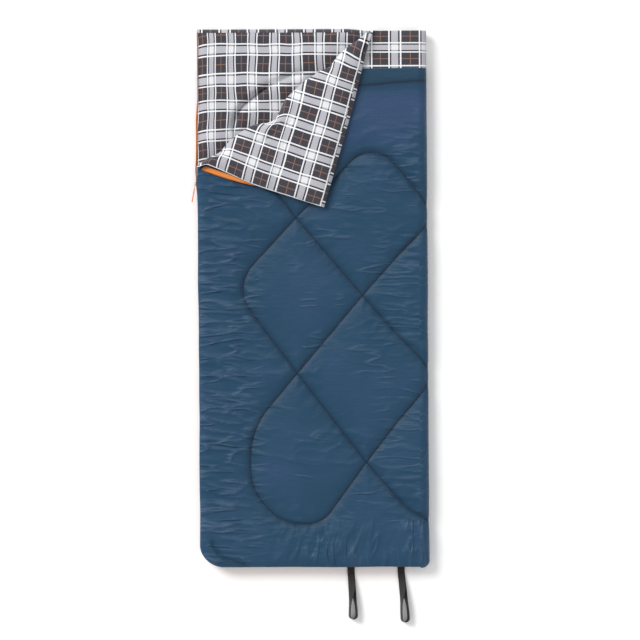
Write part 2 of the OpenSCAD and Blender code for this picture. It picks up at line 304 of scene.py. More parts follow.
def simulate_quilting():
    """Heights of the cover's cloth above its quilting, on a regular grid."""
    panel, rest_points, pinned, start = sim_panel()
    panel.shape_key_add(name="sewn")
    rest = panel.shape_key_add(name="cut")
    rest.data.foreach_set("co", rest_points.ravel())
    rest.value = 0
    panel.vertex_groups.new(name="pin").add(pinned, 1.0, "REPLACE")
    cloth = panel.modifiers.new("cloth", "CLOTH")
    settings = cloth.settings
    settings.vertex_group_mass = "pin"
    settings.rest_shape_key = rest
    settings.quality = 4
    settings.mass = 0.05
    settings.tension_stiffness = settings.compression_stiffness = 12
    settings.shear_stiffness = 4
    settings.bending_stiffness = 0.01
    settings.tension_damping = settings.compression_damping = settings.shear_damping = 3
    settings.bending_damping = 0.2
    settings.use_pressure = True
    settings.uniform_pressure_force = 0.15
    settings.effector_weights.gravity = 0
    for number in range(1, SIM_FRAMES + 1):
        bpy.context.scene.frame_set(number)
    shown = panel.evaluated_get(bpy.context.evaluated_depsgraph_get()).to_mesh()
    flat = np.zeros(len(shown.vertices) * 3)
    shown.vertices.foreach_get("co", flat)
    bpy.context.scene.frame_set(1)
    bpy.data.objects.remove(panel)
    rise = flat.reshape(-1, 3)[:, 2].reshape(start.shape) - start
    return 0.9 * start + np.clip(SIM_GAIN * rise, -SIM_CAP, SIM_CAP)


def refine(field):
    """The same field at half the spacing, smoothed."""
    for axis in (0, 1):
        field = np.moveaxis(field, axis, 0)
        fine = np.empty((2 * len(field) - 1, field.shape[1]))
        fine[::2], fine[1::2] = field, (field[1:] + field[:-1]) / 2
        fine[1:-1] = (fine[:-2] + 2 * fine[1:-1] + fine[2:]) / 4
        field = np.moveaxis(fine, 0, axis)
    return field


def sample(field, x, y):
    """Value of the simulated field at each point."""
    step = SIM_STEP / 4
    i = np.clip((y - FOOT_Y) / step, 0, field.shape[0] - 1.001)
    j = np.clip((x - ZIP_X) / step, 0, field.shape[1] - 1.001)
    i0, j0 = i.astype(int), j.astype(int)
    fi, fj = i - i0, j - j0
    low = field[i0, j0] * (1 - fj) + field[i0, j0 + 1] * fj
    high = field[i0 + 1, j0] * (1 - fj) + field[i0 + 1, j0 + 1] * fj
    return low * (1 - fi) + high * fi


# ---------- Heights of the four cloth surfaces ----------


def turn_place(x, y):
    """Distance from the corner's fold, towards the cover, and distance along it."""
    dx, dy = x - TURN_MID[0], y - TURN_MID[1]
    return -(dx * TURN_OUT[0] + dy * TURN_OUT[1]), dx * TURN_DIR[0] + dy * TURN_DIR[1]


def sewn_depth(x, y, seed, depth=1.0):
    """How far quilting and seams draw the cloth in, with the puckers beside them."""
    away, along = to_quilting(x, y)
    away = away + ramp(y, HEM_Y - 4 * MM, HEM_Y + 4 * MM) * 0.2
    seam = np.abs(y - HEM_Y)
    drawn = LOFT * np.exp(-(away / 0.024)) + 9 * MM * np.exp(-(away / 0.006) ** 2)
    drawn = np.maximum(drawn, 9 * MM * np.exp(-seam / 0.012))
    drawn = drawn + 2.5 * MM * np.exp(-np.abs(y - COLLAR_Y) / 0.006)
    beside = np.exp(-away / 0.030) * (1 - np.exp(-away / 0.006))
    pucker = noise(along, 0 * along + 3.3, 0.024, 1.0, seed) * 2.4 * MM * beside
    beside = np.exp(-seam / 0.022) * (1 - np.exp(-seam / 0.006))
    pucker = pucker + noise(x, y, 0.03, 0.3, seed + 3) * 1.6 * MM * beside
    return drawn * depth + pucker


def wrinkles(x, y, seed):
    """Loose creases of the thin shell: across the zip side, up from the foot, and here and there."""
    across, down = x - ZIP_X, HEAD_Y - y
    zip_side = 1 - ramp(across, 0.10, 0.26)
    fold_side = ramp(across, 0.62, 0.76)
    foot = ramp(down, 1.70, 1.80) * ramp(across, 0.20, 0.30)
    patch = ramp(noise(x, y, 0.16, 0.14, seed + 9, 1), 0.0, 0.5)
    level = creases(x, y + 0.12 * x, 0.15, 0.032, seed + 1)
    rising = creases(x - 0.25 * y, y, 0.034, 0.16, seed + 2)
    slant = creases(x + 0.6 * y, y - 0.25 * x, 0.12, 0.06, seed + 4)
    tops = level * (1.6 * patch + 5.0 * zip_side + 3.2 * fold_side * patch)
    return np.minimum(tops + rising * 4.2 * foot + slant * 1.8 * patch - 1.2, 3.1) * MM


def under_limit(z, limit):
    """Keeps z below limit, with a soft shoulder."""
    gap = limit - z
    return limit - (gap + np.sqrt(gap * gap + (2.2 * MM) ** 2)) / 2


def rounded_off(x, y, level, seam_z, head_z):
    """A surface at level that rounds down to its seams at the zip side, the foot and the head."""
    side = rim(edge_distance(x, y) / RIM_W)
    head = rim((HEAD_Y - y) / RIM_W)
    edge_z = seam_z + (head_z - seam_z) * ramp(edge_distance(x, y), 0, 60 * MM)
    low = np.where(side < head, seam_z, edge_z)
    return low + (level - low) * np.minimum(side, head)


def cover_outer(x, y):
    """The outside of the cover."""
    puff = sample(PUFF, x, y)
    below = 1 - ramp(y, HEM_Y - 30 * MM, HEM_Y)
    level = COVER_TOP - LOFT + puff * below + (1 - below) * LOFT * 0.9
    level = under_limit(level - sewn_depth(x, y, SEED, 0.3), COVER_TOP - 3.0 * MM)
    level = level - 5 * MM * np.exp(-(to_paths([CREASE], x, y)[0] / 0.006) ** 2)
    level = level + wrinkles(x, y, SEED) * (y < HEM_Y) * ramp(to_quilting(x, y)[0], 0, 0.012)
    return rounded_off(x, y, level, MID_Z + SEAM_DROP, MID_Z + HEAD_SEAM)


def cover_inner(x, y):
    """The lining under the cover, which the turned-back corner shows."""
    swell = noise(x, y, 0.10, 0.12, SEED + 60) * 1.8 * MM + noise(x, y, 0.05, 0.04, SEED + 61) * 0.7 * MM
    level = COVER_BOTTOM + 0.5 * MM + sewn_depth(x, y, SEED + 50, 0.33) + np.abs(swell)
    away, along = edge_distance(x, y), x + y
    level = level + noise(along, 0 * along, 0.03, 1, SEED + 62) * 1.2 * MM * np.exp(-away / 0.03)
    return rounded_off(x, y, level, MID_Z + SEAM_DROP, MID_Z + HEAD_SEAM)


def base_inner(x, y):
    """The lining of the base, fuller where the turned-back corner leaves it free."""
    u = turn_place(x, y)[0]
    free = ramp(-u, -0.02, 0.07) * ramp(edge_distance(x, y), 4 * MM, 34 * MM)
    tuck = to_paths([TUCK, PATHS[0]], x, y)[0]
    fade = 1 - ramp(x, TUCK[0][0] - 60 * MM, TUCK[0][0])
    swell = noise(x, y, 0.11, 0.13, SEED + 90) * 1.2 + noise(x, y, 0.06, 0.05, SEED + 91) * 0.8
    below = ramp(turn_place(x, y)[1] - u * 0.6, -0.30, -0.05)
    level = BASE_TOP + 0.4 * MM - sewn_depth(x, y, SEED + 80, 0.35 + 0.2 * free)
    level = level + free * (6.0 * MM + swell * 2.5 * MM + 4.5 * MM * below)
    level = level - free * fade * (15 * MM * np.exp(-(tuck / 0.010) ** 1.5) + 5 * MM * np.exp(-tuck / 0.03))
    level = under_limit(level, MID_Z - 4.2 * MM + free * 8 * MM)
    return rounded_off(x, y, level, MID_Z - SEAM_DROP, MID_Z - HEAD_SEAM)


def base_outer(x, y):
    """The outside of the base, pressed flat on the floor between its quilting."""
    level = np.clip(sewn_depth(x, y, SEED + 120, 0.5) - 0.8 * MM, 0, 6 * MM)
    return rounded_off(x, y, level, MID_Z - SEAM_DROP, MID_Z - HEAD_SEAM)


# ---------- Turned-back corner ----------


def roll_reach(t):
    """How far the roll of lining stands out past the fold line, or sinks behind it."""
    bulges = 5 * bell(t, 0.082, 0.030) + 6 * bell(t, 0.275, 0.035) + 9 * bell(t, 0.39, 0.05)
    dents = 38 * bell(t, -0.079, 0.055) + 10 * bell(t, 0.186, 0.025) + 10 * bell(t, -0.299, 0.030)
    return (3 + bulges - dents) * MM


def shell_reach(t):
    return np.minimum(roll_reach(t) - 9 * MM, -1.5 * MM)


def gathered(along):
    """How far the turned corner's zip edge is drawn up, at a distance along it from the fold."""
    return 19 * MM * (1 - ramp(along, 0.02, 0.26))


def fold_corner(x, y, z, half, reach):
    """Turns cloth past the fold line back over the cover, round a roll."""
    u, t = turn_place(x, y)
    out = reach(t)
    q = np.clip(np.abs(u) / half, 0, 1)
    folded = u < 0
    new_u = np.where(q < 1, -out + (half + out) * q, np.abs(u))
    new_z = TURN_Z + np.where(folded, 1, -1) * (TURN_Z - z) * rim(q * 0.94 + 0.001)
    away = np.minimum(x - ZIP_X, HEAD_Y - y)
    rest_z = TURN_Z + FLAP_REST
    sag = np.maximum(new_z - rest_z, 0) * (1 - rim(away / DROOP_W)) * ramp(-u, 0, 0.10)
    new_z = np.where(folded, new_z - 0.95 * sag, new_z)
    slide = -FLAP_SHEAR * new_u - FLAP_SLIP * ramp(t, 0.12, 0.39) * ramp(q, 0, 1)
    slide = np.where(folded, slide, 0)
    lift = gathered(y - TURN_START_Y) * (1 - ramp(x - ZIP_X, 0.01, 0.16)) * ramp(q, 0, 0.6) * folded
    return (x - TURN_OUT[0] * (new_u - u) + TURN_DIR[0] * slide,
            y - TURN_OUT[1] * (new_u - u) + TURN_DIR[1] * slide + lift, new_z)


# ---------- Meshes ----------


def mesh_object(name, verts, faces, uvs=None):
    """An object with smooth faces; uvs has one pair for each vertex."""
    mesh = bpy.data.meshes.new(name)
    mesh.from_pydata([tuple(v) for v in verts], [], faces)
    mesh.update()
    if uvs is not None:
        set_uvs(mesh, uvs)
    mesh.polygons.foreach_set("use_smooth", [True] * len(mesh.polygons))
    obj = bpy.data.objects.new(name, mesh)
    bpy.context.scene.collection.objects.link(obj)
    return obj


def set_uvs(mesh, uvs):
    layer = mesh.uv_layers.new(name="cloth")
    corner = np.zeros(len(mesh.loops), int)
    mesh.loops.foreach_get("vertex_index", corner)
    layer.data.foreach_set("uv", np.asarray(uvs, float)[corner].ravel())


def set_loft(mesh, x, y):
    """Stores how near each point is to a seam, from 0 on a pillow to 1 in a seam, for the shader's painted seam
    shade and crown highlight.
    """
    away = np.minimum(to_quilting(x, y)[0], to_paths([CREASE], x, y)[0] * 1.5 + 1 * MM)
    away = np.where(y < HEM_Y - 1 * MM, away, LOFT_REACH)
    away = np.minimum(away, np.abs(y - HEM_Y))
    layer = mesh.attributes.new("loft", "FLOAT", "POINT")
    layer.data.foreach_set("value", np.clip(1 - away / LOFT_REACH, 0, 1))


def grid_faces(rows, columns, flip=False):
    faces = []
    for i in range(rows - 1):
        for j in range(columns - 1):
            a = i * columns + j
            face = (a, a + 1, a + columns + 1, a + columns)
            faces.append(face[::-1] if flip else face)
    return faces


EDGE_STEPS = [0.3 * MM, 1.0 * MM, 2.2 * MM, 4.0 * MM]


def spaced(start, end, step, fine_start=False, fine_end=False):
    """Values from start up to end about a step apart, closer together near a fine end."""
    values = list(np.linspace(start, end, max(2, round((end - start) / step)) + 1))
    values += [start + e for e in EDGE_STEPS] if fine_start else []
    values += [end - e for e in EDGE_STEPS] if fine_end else []
    return np.array(sorted(set(values)))


def plan_grid(rows, step):
    """Plan points of a layer, a row for each y, from the zip side to the side roll."""
    share = spaced(0, 1, step / (FOLD_X - ZIP_X))
    share = np.array(sorted(set(share) | {e / (FOLD_X - ZIP_X) for e in EDGE_STEPS}))
    start, end = left_edge(rows)[:, None], right_edge(rows)[:, None] - ROLL_R
    return start + share[None, :] * (end - start), np.repeat(rows[:, None], len(share), 1)


def cut_along_fold(obj, half):
    """Adds edges beside the corner's fold, so that it bends on them."""
    shares = [0.0, 0.01, 0.04, 0.09, 0.16, 0.25, 0.36, 0.5, 0.68, 0.85, 1.0]
    bm = bmesh.new()
    bm.from_mesh(obj.data)
    normal = Vector((TURN_OUT[0], TURN_OUT[1], 0))
    for offset in sorted({sign * share * half for share in shares for sign in (-1, 1)}):
        point = Vector((TURN_MID[0], TURN_MID[1], 0)) - normal * offset
        geometry = bm.verts[:] + bm.edges[:] + bm.faces[:]
        bmesh.ops.bisect_plane(bm, geom=geometry, dist=1e-6, plane_co=point, plane_no=normal)
    bm.to_mesh(obj.data)
    bm.free()


def mesh_points(obj):
    flat = np.zeros(len(obj.data.vertices) * 3)
    obj.data.vertices.foreach_get("co", flat)
    return flat.reshape(-1, 3).T


def move_points(obj, x, y, z):
    obj.data.vertices.foreach_set("co", np.stack([x, y, z], 1).ravel())
    obj.data.update()


def layer_sheet(name, y0, y1, step, height, uv, face_up=True, fold=None, wrap=None, shell=False):
    """One cloth surface between two rows. fold is (half, reach) where the corner turns back.
    wrap is the height of the cloth on the other side, where the sheet turns over the head edge.
    shell is true for the shell's cloth, which gets painted seam shade and crown highlight from its loft."""
    rows = spaced(y0, y1, step, y0 == FOOT_Y, y1 == HEAD_Y)
    turned = np.zeros(len(rows))
    if wrap:
        over = np.array(EDGE_STEPS + [7 * MM, 10 * MM, WRAP])
        rows, turned = np.append(rows, HEAD_Y - over), np.append(turned, over)
    xs, ys = plan_grid(rows, step)
    depth = np.repeat(-turned[:, None], xs.shape[1], 1)
    points = np.stack([xs.ravel(), ys.ravel(), depth.ravel()], 1)
    obj = mesh_object(name, points, grid_faces(*xs.shape, flip=not face_up))
    if fold:
        cut_along_fold(obj, fold[0])
    x, y, depth = mesh_points(obj)
    set_uvs(obj.data, uv(x, np.where(depth < 0, HEAD_Y + depth, y)))
    z = height(x, y)
    if wrap:
        z = np.where(depth < 0, wrap(x, y) + (0.9 if face_up else -0.9) * MM * -rim(-depth / WRAP), z)
    if shell:
        set_loft(obj.data, x, y)
    x2, y2 = waved(x, y)
    if fold:
        x2, y2, z = fold_corner(x2, y2, z, *fold)
    move_points(obj, x2, y2, z)
    return obj


def side_roll(name, y0, y1, step, top, bottom, uv, inner=False):
    """The strip of cloth that turns round the folded side, from the base to the cover."""
    rows = spaced(y0, y1, step, y0 == FOOT_Y, y1 == HEAD_Y)
    angles = np.linspace(-math.pi / 2, math.pi / 2, 9 if inner else 17)
    y, angle = np.repeat(rows[:, None], len(angles), 1), np.repeat(angles[None, :], len(rows), 0)
    middle = right_edge(y) - ROLL_R
    near_end = 1 - np.minimum(rim((HEAD_Y - y) / 0.03), rim((y - FOOT_Y) / 0.03))
    reach = INNER_ROLL_R + (ROLL_R - INNER_ROLL_R) * near_end if inner else ROLL_R
    along = middle + reach * (math.pi / 2 - np.abs(angle))
    across = np.minimum(along, FOLD_X)
    high, low = top(across, y) - MID_Z, bottom(across, y) - MID_Z
    z = MID_Z + np.where(angle > 0, high, -low) * np.sin(angle)
    x = middle + reach * np.cos(angle)
    x2, y2 = waved(x, y)
    verts = np.stack([x2.ravel(), y2.ravel(), z.ravel()], 1)
    faces = grid_faces(*y.shape, flip=inner)
    obj = mesh_object(name, verts, faces, uv(along.ravel(), y.ravel()))
    set_loft(obj.data, np.minimum(along, FOLD_X).ravel(), y.ravel())
    return obj


# ---------- Where the plaid falls on each piece ----------

PLAID_X, PLAID_Y = 86.5 * MM, 99 * MM     # size of one repeat
BASE_GATHER = 1.08                        # the base's lining is gathered across by this much


def plain_uv(x, y):
    return np.stack([x - ZIP_X, HEAD_Y - y], 1)


def cover_uv(x, y):
    across = x - ZIP_X - 28 * MM + noise(x, y, 0.12, 0.12, SEED + 72) * 4 * MM
    return np.stack([across, HEAD_Y - y - 48 * MM + noise(x, y, 0.12, 0.12, SEED + 73) * 4 * MM], 1)


def base_uv(x, y):
    across = x - ZIP_X
    down = HEAD_Y - y - 21 * MM - 13 * MM * np.exp(-across / 0.035)
    down = down + noise(x, y, 0.11, 0.13, SEED + 70) * 5 * MM
    across = across + noise(x, y, 0.13, 0.11, SEED + 71) * 5 * MM
    across = across - 38 * MM * np.exp(-across / 0.085) - 74 * MM
    return np.stack([across * BASE_GATHER, down], 1)


def collar_uv(x, y):
    """The collar's cloth is turned a quarter."""
    return np.stack([HEAD_Y - y - 21 * MM, x - ZIP_X - 647 * MM], 1)


# ---------- Materials ----------


class Nodes:
    """Short calls for building a material's node tree."""

    def __init__(self, name, **settings):
        self.material = bpy.data.materials.new(name)
        self.material.use_nodes = True
        self.tree = self.material.node_tree
        self.shader = self.tree.nodes["Principled BSDF"]
        for socket, value in settings.items():
            self.shader.inputs[socket.replace("_", " ")].default_value = value

    def node(self, kind, **values):
        made = self.tree.nodes.new(kind)
        for key, value in values.items():
            setattr(made, key, value)
        return made

    def feed(self, socket, value):
        if isinstance(value, (int, float)):
            socket.default_value = value
        elif isinstance(value, tuple):
            socket.default_value = (*value, 1) if len(socket.default_value) == 4 else value
        else:
            self.tree.links.new(value, socket)

    def math(self, operation, *inputs):
        made = self.node("ShaderNodeMath", operation=operation)
        for socket, value in zip(made.inputs, inputs):
            self.feed(socket, value)
        return made.outputs[0]

    def times(self, a, b):
        return self.math("MULTIPLY", a, b)

    def most(self, a, b):
        return self.math("MAXIMUM", a, b)

    def mix(self, factor, a, b):
        made = self.node("ShaderNodeMix", data_type="RGBA")
        for socket, value in zip((made.inputs[0], made.inputs[6], made.inputs[7]), (factor, a, b)):
            self.feed(socket, value)
        return made.outputs[2]

    def uv(self):
        return self.node("ShaderNodeUVMap", uv_map="cloth").outputs[0]

    def place(self):
        return self.node("ShaderNodeTexCoord").outputs["Object"]

    def attribute(self, name):
        return self.node("ShaderNodeAttribute", attribute_name=name).outputs["Fac"]

    def noise(self, vector, scale, detail=3, stretch=None):
        if stretch:
            mapping = self.node("ShaderNodeMapping")
            self.feed(mapping.inputs["Scale"], stretch)
            self.feed(mapping.inputs[0], vector)
            vector = mapping.outputs[0]
        made = self.node("ShaderNodeTexNoise")
        made.inputs["Scale"].default_value = scale
        made.inputs["Detail"].default_value = detail
        self.feed(made.inputs["Vector"], vector)
        return made.outputs["Fac"]

    def zone(self, value, start, end):
        """0 where value is at start and 1 where it is at end, with a smooth step between."""
        made = self.node("ShaderNodeMapRange", interpolation_type="SMOOTHSTEP")
        for socket, given in zip(made.inputs, (value, start, end)):
            self.feed(socket, given)
        return made.outputs[0]

    def ridges(self, vector, scale, stretch):
        """Thin creases where a stretched noise passes its middle value."""
        away = self.math("ABSOLUTE", self.math("SUBTRACT", self.noise(vector, scale, 1.5, stretch), 0.5))
        return self.math("POWER", self.math("MAXIMUM", self.math("MULTIPLY_ADD", away, -14.0, 1.0), 0.0), 1.3)

    def wave(self, vector, scale, direction):
        made = self.node("ShaderNodeTexWave", bands_direction=direction)
        made.inputs["Scale"].default_value = scale
        self.feed(made.inputs["Vector"], vector)
        return made.outputs["Fac"]

    def colour(self, socket):
        self.feed(self.shader.inputs["Base Color"], socket)

    def bump(self, height, distance, strength=1.0):
        made = self.node("ShaderNodeBump")
        made.inputs["Strength"].default_value = strength
        made.inputs["Distance"].default_value = distance
        self.feed(made.inputs["Height"], height)
        self.feed(self.shader.inputs["Normal"], made.outputs[0])


def rgb(red, green, blue):
    """An 8-bit screen colour as linear light."""
    return tuple(((c / 255 + 0.055) / 1.055) ** 2.4 for c in (red, green, blue))


def shell_material(name, deep, plain, pale):
    """Thin woven polyester satin, whose colour holds painted light: painted shade, teal where it dips to a seam
    and a dark line in each seam, and painted highlights, lilac on its crowns, paler towards the head, and lighter
    on its creases' ridges.
    """
    m = Nodes(name, Roughness=0.46, Sheen_Weight=0.10, Sheen_Roughness=0.35)
    m.shader.inputs["Sheen Tint"].default_value = (0.35, 0.65, 1.0, 1)
    m.shader.inputs["Specular IOR Level"].default_value = 0.35
    uv = m.uv()
    dip = m.attribute("loft")
    split = m.node("ShaderNodeSeparateXYZ")
    m.feed(split.inputs[0], uv)
    across, down = split.outputs[0], split.outputs[1]
    # Painted highlight: the pale tone is painted on the pillows' crowns, away from the seams, more strongly
    # towards the head, mixed with random tone from the broad noise.
    near_head = m.zone(down, 0.55, 0.16)
    broad = m.math("MULTIPLY_ADD", m.noise(uv, 3.6, 3), 1.5, m.math("MULTIPLY_ADD", near_head, 0.75, -0.62))
    highlight_and_tone = m.times(m.math("SUBTRACT", 1.0, dip), broad)
    tone = m.mix(m.math("MINIMUM", m.most(highlight_and_tone, 0.0), 1.0), plain, pale)
    # Painted shade: teal is painted where the cloth dips to a seam.
    tone = m.mix(m.times(m.math("POWER", dip, 4.0), 0.7), tone, deep)
    streak = shell_streaks(m, uv, across, down)
    # Painted highlight: the creases' ridges are painted lighter, on top of their bump.
    tone = m.mix(m.times(streak, 0.13), tone, rgb(104, 126, 150))
    # Painted shade: a dark line is painted down in each seam's groove.
    tone = m.mix(m.math("POWER", dip, 26.0), tone, rgb(0, 20, 48))
    fleck = m.noise(uv, 900, 2)
    m.colour(m.mix(m.times(fleck, 0.14), tone, (0.004, 0.012, 0.03)))
    weave = m.math("ADD", m.wave(uv, 700, "X"), m.wave(uv, 700, "Y"))
    crinkle = m.noise(uv, 60, 4, stretch=(0.6, 1.8, 1))
    crinkle = m.math("MULTIPLY_ADD", crinkle, 0.5, m.times(weave, 0.04))
    m.bump(m.math("MULTIPLY_ADD", streak, 2.2, crinkle), 0.0025, 0.8)
    return m.material


def shell_streaks(m, uv, across, down):
    """Fine drag creases: across the bag on the zip side and here and there, upright below the quilting."""
    patches = m.times(m.zone(m.noise(uv, 6.5, 1), 0.56, 0.66), 0.6)
    sides = m.math("ADD", m.zone(across, 0.27, 0.15), m.times(m.zone(across, 0.58, 0.68), 0.45))
    foot = m.times(m.zone(down, 1.70, 1.76), m.zone(across, 0.22, 0.32))
    level = m.ridges(uv, 6.0, (0.8, 3.6, 1))
    weight = m.most(m.times(sides, m.zone(m.noise(uv, 9, 1), 0.36, 0.50)), patches)
    weight = m.times(weight, m.math("SUBTRACT", 1.0, foot))
    some = m.zone(m.noise(uv, 5.5, 1), 0.44, 0.60)
    upright = m.times(m.ridges(uv, 6.5, (3.8, 0.8, 1)), m.times(foot, some))
    below = m.times(m.zone(down, 0.30, 0.45), m.times(level, weight))
    return m.most(below, upright)


def plaid_bands(m, socket, period, dark):
    """Masks of a dark band, its white edge, the black line beside that, and its rust middle."""
    line_w, black_w, rust_w = 4.8 * MM, 5.4 * MM, 2.6 * MM
    turn = m.math("FRACT", m.math("ADD", m.math("DIVIDE", socket, period), 40.5))
    away = m.times(m.math("ABSOLUTE", m.math("SUBTRACT", turn, 0.5)), period)
    inside = lambda limit: m.math("LESS_THAN", away, limit)
    dark_in, line_in = inside(dark / 2), inside(dark / 2 + line_w)
    black_in = inside(dark / 2 + line_w + black_w)
    return (dark_in, m.math("SUBTRACT", line_in, dark_in), m.math("SUBTRACT", black_in, line_in),
            inside(rust_w / 2))


def plaid_material(name):
    """Brushed plaid flannel: charcoal blocks with rust lines, edged white and black, on pale grey."""
    m = Nodes(name, Roughness=0.9, Sheen_Weight=0.2, Sheen_Roughness=0.6)
    m.shader.inputs["Specular IOR Level"].default_value = 0.2
    split = m.node("ShaderNodeSeparateXYZ")
    uv = m.uv()
    m.feed(split.inputs[0], uv)
    dark_x, line_x, black_x, rust_x = plaid_bands(m, split.outputs[0], PLAID_X, 46 * MM)
    dark_y, line_y, black_y, rust_y = plaid_bands(m, split.outputs[1], PLAID_Y, 56 * MM)
    half = rgb(186, 187, 195)
    tone = m.mix(dark_y, m.mix(dark_x, rgb(232, 233, 238), half), half)
    blue_cast = m.noise(uv, 14, 1)
    charcoal = m.mix(blue_cast, rgb(34, 34, 52), rgb(50, 48, 50))
    tone = m.mix(m.times(dark_x, dark_y), tone, charcoal)
    over = lambda line, other: m.times(line, m.math("MULTIPLY_ADD", other, 0.46, 0.52))
    black = m.most(over(black_x, m.most(dark_y, black_y)),
                   over(black_y, m.most(dark_x, black_x)))
    tone = m.mix(black, tone, rgb(14, 13, 20))
    on_dark = m.most(m.times(rust_x, dark_y), m.times(rust_y, dark_x))
    rust = m.mix(m.noise(uv, 9, 1), rgb(186, 100, 76), rgb(176, 148, 86))
    tone = m.mix(m.times(m.most(rust_x, rust_y), 0.16), tone, rgb(222, 150, 120))
    tone = m.mix(m.times(on_dark, 0.40), tone, rust)
    tone = m.mix(m.times(m.most(line_x, line_y), 0.88), tone, rgb(252, 252, 254))
    hatch = m.math("POWER", m.wave(uv, 62, "DIAGONAL"), 2.0)
    either = m.times(m.most(dark_x, dark_y), 0.16)
    tone = m.mix(m.times(hatch, either), tone, rgb(96, 94, 108))
    twill = m.noise(uv, 520, 3, stretch=(1, 1.6, 1))
    tone = m.mix(m.times(twill, 0.26), tone, rgb(96, 96, 104))
    m.colour(tone)
    fuzz = m.math("ADD", m.noise(uv, 700, 4), m.times(m.noise(uv, 60, 3), 1.5))
    m.bump(fuzz, 0.0012, 0.4)
    return m.material


def woven_material(name, colour, dark, roughness, ribs, sheen=0.2, distance=0.0005, gloss=0.5):
    """Narrow woven tape or webbing, with ribs and a fine fleck."""
    m = Nodes(name, Roughness=roughness, Sheen_Weight=sheen)
    m.shader.inputs["Specular IOR Level"].default_value = gloss
    place = m.place()
    m.colour(m.mix(m.noise(place, 600, 3), colour, dark))
    rows = m.math("ADD", m.wave(place, ribs, "DIAGONAL"), m.noise(place, 1500, 2))
    m.bump(rows, distance, 0.6)
    return m.material


def metal_material(name):
    """Plated metal, dulled a little by handling."""
    m = Nodes(name, Metallic=0.9, Roughness=0.32)
    place = m.place()
    m.colour(m.mix(m.noise(place, 260, 4), (0.30, 0.30, 0.32), (0.52, 0.52, 0.54)))
    m.bump(m.noise(place, 900, 3), 0.0001, 0.4)
    return m.material


def batting_material(name):
    m = Nodes(name, Roughness=1.0, Sheen_Weight=0.4)
    place = m.place()
    m.colour(m.mix(m.noise(place, 300, 4), (0.86, 0.86, 0.85), (0.7, 0.7, 0.7)))
    m.bump(m.noise(place, 200, 6), 0.004, 0.8)
    return m.material


def floor_material():
    m = Nodes("floor", Roughness=0.85)
    m.colour(m.mix(m.noise(m.place(), 3, 2), (0.95, 0.95, 0.95), (0.97, 0.97, 0.97)))
    return m.material


MAT = {
    # Each shell material takes its painted seam shade tone, its plain tone and its painted crown highlight tone,
    # in that order.
    "shell_cloth": shell_material("quilted_shell_cloth", rgb(0, 50, 72), rgb(8, 60, 89), rgb(44, 70, 108)),
    "hem_cloth": shell_material("hem_band_cloth", rgb(4, 46, 66), rgb(12, 58, 82), rgb(18, 62, 90)),
    "plaid_cloth": plaid_material("plaid_flannel"),
    "batting": batting_material("fibre_batting"),
    "thread": woven_material("navy_thread", rgb(0, 28, 60), rgb(0, 16, 38), 0.9, 400, 0.0, 0.0001, 0.1),
    "lining_thread": woven_material("grey_thread", rgb(150, 150, 156), rgb(110, 110, 118), 0.6, 400,
                                    0.1, 0.0002),
    "zip_tape": woven_material("zip_tape_weave", rgb(236, 146, 62), rgb(214, 118, 42), 0.7, 260),
    "zip_coil": woven_material("zip_coil_nylon", rgb(224, 118, 36), rgb(198, 96, 28), 0.42, 90, 0.0, 0.0002),
    "metal": metal_material("zip_metal"),
    "grip": woven_material("orange_grip", rgb(232, 120, 46), rgb(214, 102, 36), 0.55, 120, 0.0, 0.0002),
    "webbing": woven_material("black_webbing", rgb(24, 24, 26), rgb(12, 12, 13), 0.7, 200, 0.05),
}


def dress(obj, slot):
    obj.data.materials.clear()
    obj.data.materials.append(MAT[slot])
    return obj


def ride(obj, body, *nodes):
    """Moves a piece with a body, in place of the CAD nodes that it stands for."""
    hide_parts(*nodes)
    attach(obj, body)


# ---------- Cloth pieces ----------

SHELL_STEP = 4.5 * MM
LINING_STEP = 6 * MM
UNDER_STEP = 9 * MM

BANDS = [
    # name, lower row, upper row, material slot, uv, node it stands for
    ("quilted_shell", FOOT_Y, HEM_Y, "shell_cloth", plain_uv, "shell"),
    ("plain_hem_band", HEM_Y, COLLAR_Y, "hem_cloth", plain_uv, "hem_band"),
    ("plaid_collar", COLLAR_Y, HEAD_Y, "plaid_cloth", collar_uv, "collar"),
]


def outer_cloth():
    """The outside of the blanket: cover with its turned-back corner, folded side, and base."""
    for name, y0, y1, slot, uv, node in BANDS:
        head = node == "collar"
        top = layer_sheet("cover_" + name, y0, y1, SHELL_STEP, cover_outer, uv,
                          fold=(SHELL_FOLD_HALF, shell_reach), wrap=cover_inner if head else None,
                          shell=not head)
        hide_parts("cover_" + node, "flap_" + node)
        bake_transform(dress(top, slot))
        side = side_roll("side_" + name, y0, y1, LINING_STEP, cover_outer, base_outer, uv)
        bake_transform(dress(side, slot))
        if node == "shell":
            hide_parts("base_side_fold", "cover_side_fold")
            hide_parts("cover_batting", "flap_batting")
        under = layer_sheet("base_" + name, y0, y1, UNDER_STEP, base_outer, uv, face_up=False,
                            wrap=base_inner if head else None, shell=not head)
        filling = ["base_batting"] if node == "shell" else []
        ride(dress(under, slot), "base", "base_" + node, *filling)


def inner_cloth():
    """The plaid lining: cover with its turned-back corner, the inner fold, and base."""
    y1 = HEAD_Y - WRAP
    top = layer_sheet("cover_plaid_lining", FOOT_Y, y1, LINING_STEP, cover_inner, cover_uv,
                      face_up=False, fold=(FOLD_HALF, roll_reach))
    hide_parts("cover_lining", "flap_lining")
    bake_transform(dress(top, "plaid_cloth"))
    side = side_roll("inner_fold_lining", FOOT_Y, HEAD_Y, UNDER_STEP, cover_inner, base_inner,
                     base_uv, inner=True)
    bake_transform(dress(side, "plaid_cloth"))
    low = layer_sheet("base_plaid_lining", FOOT_Y, y1, LINING_STEP, base_inner, base_uv)
    ride(dress(low, "plaid_cloth"), "base", "base_lining")


# ---------- Stitching ----------

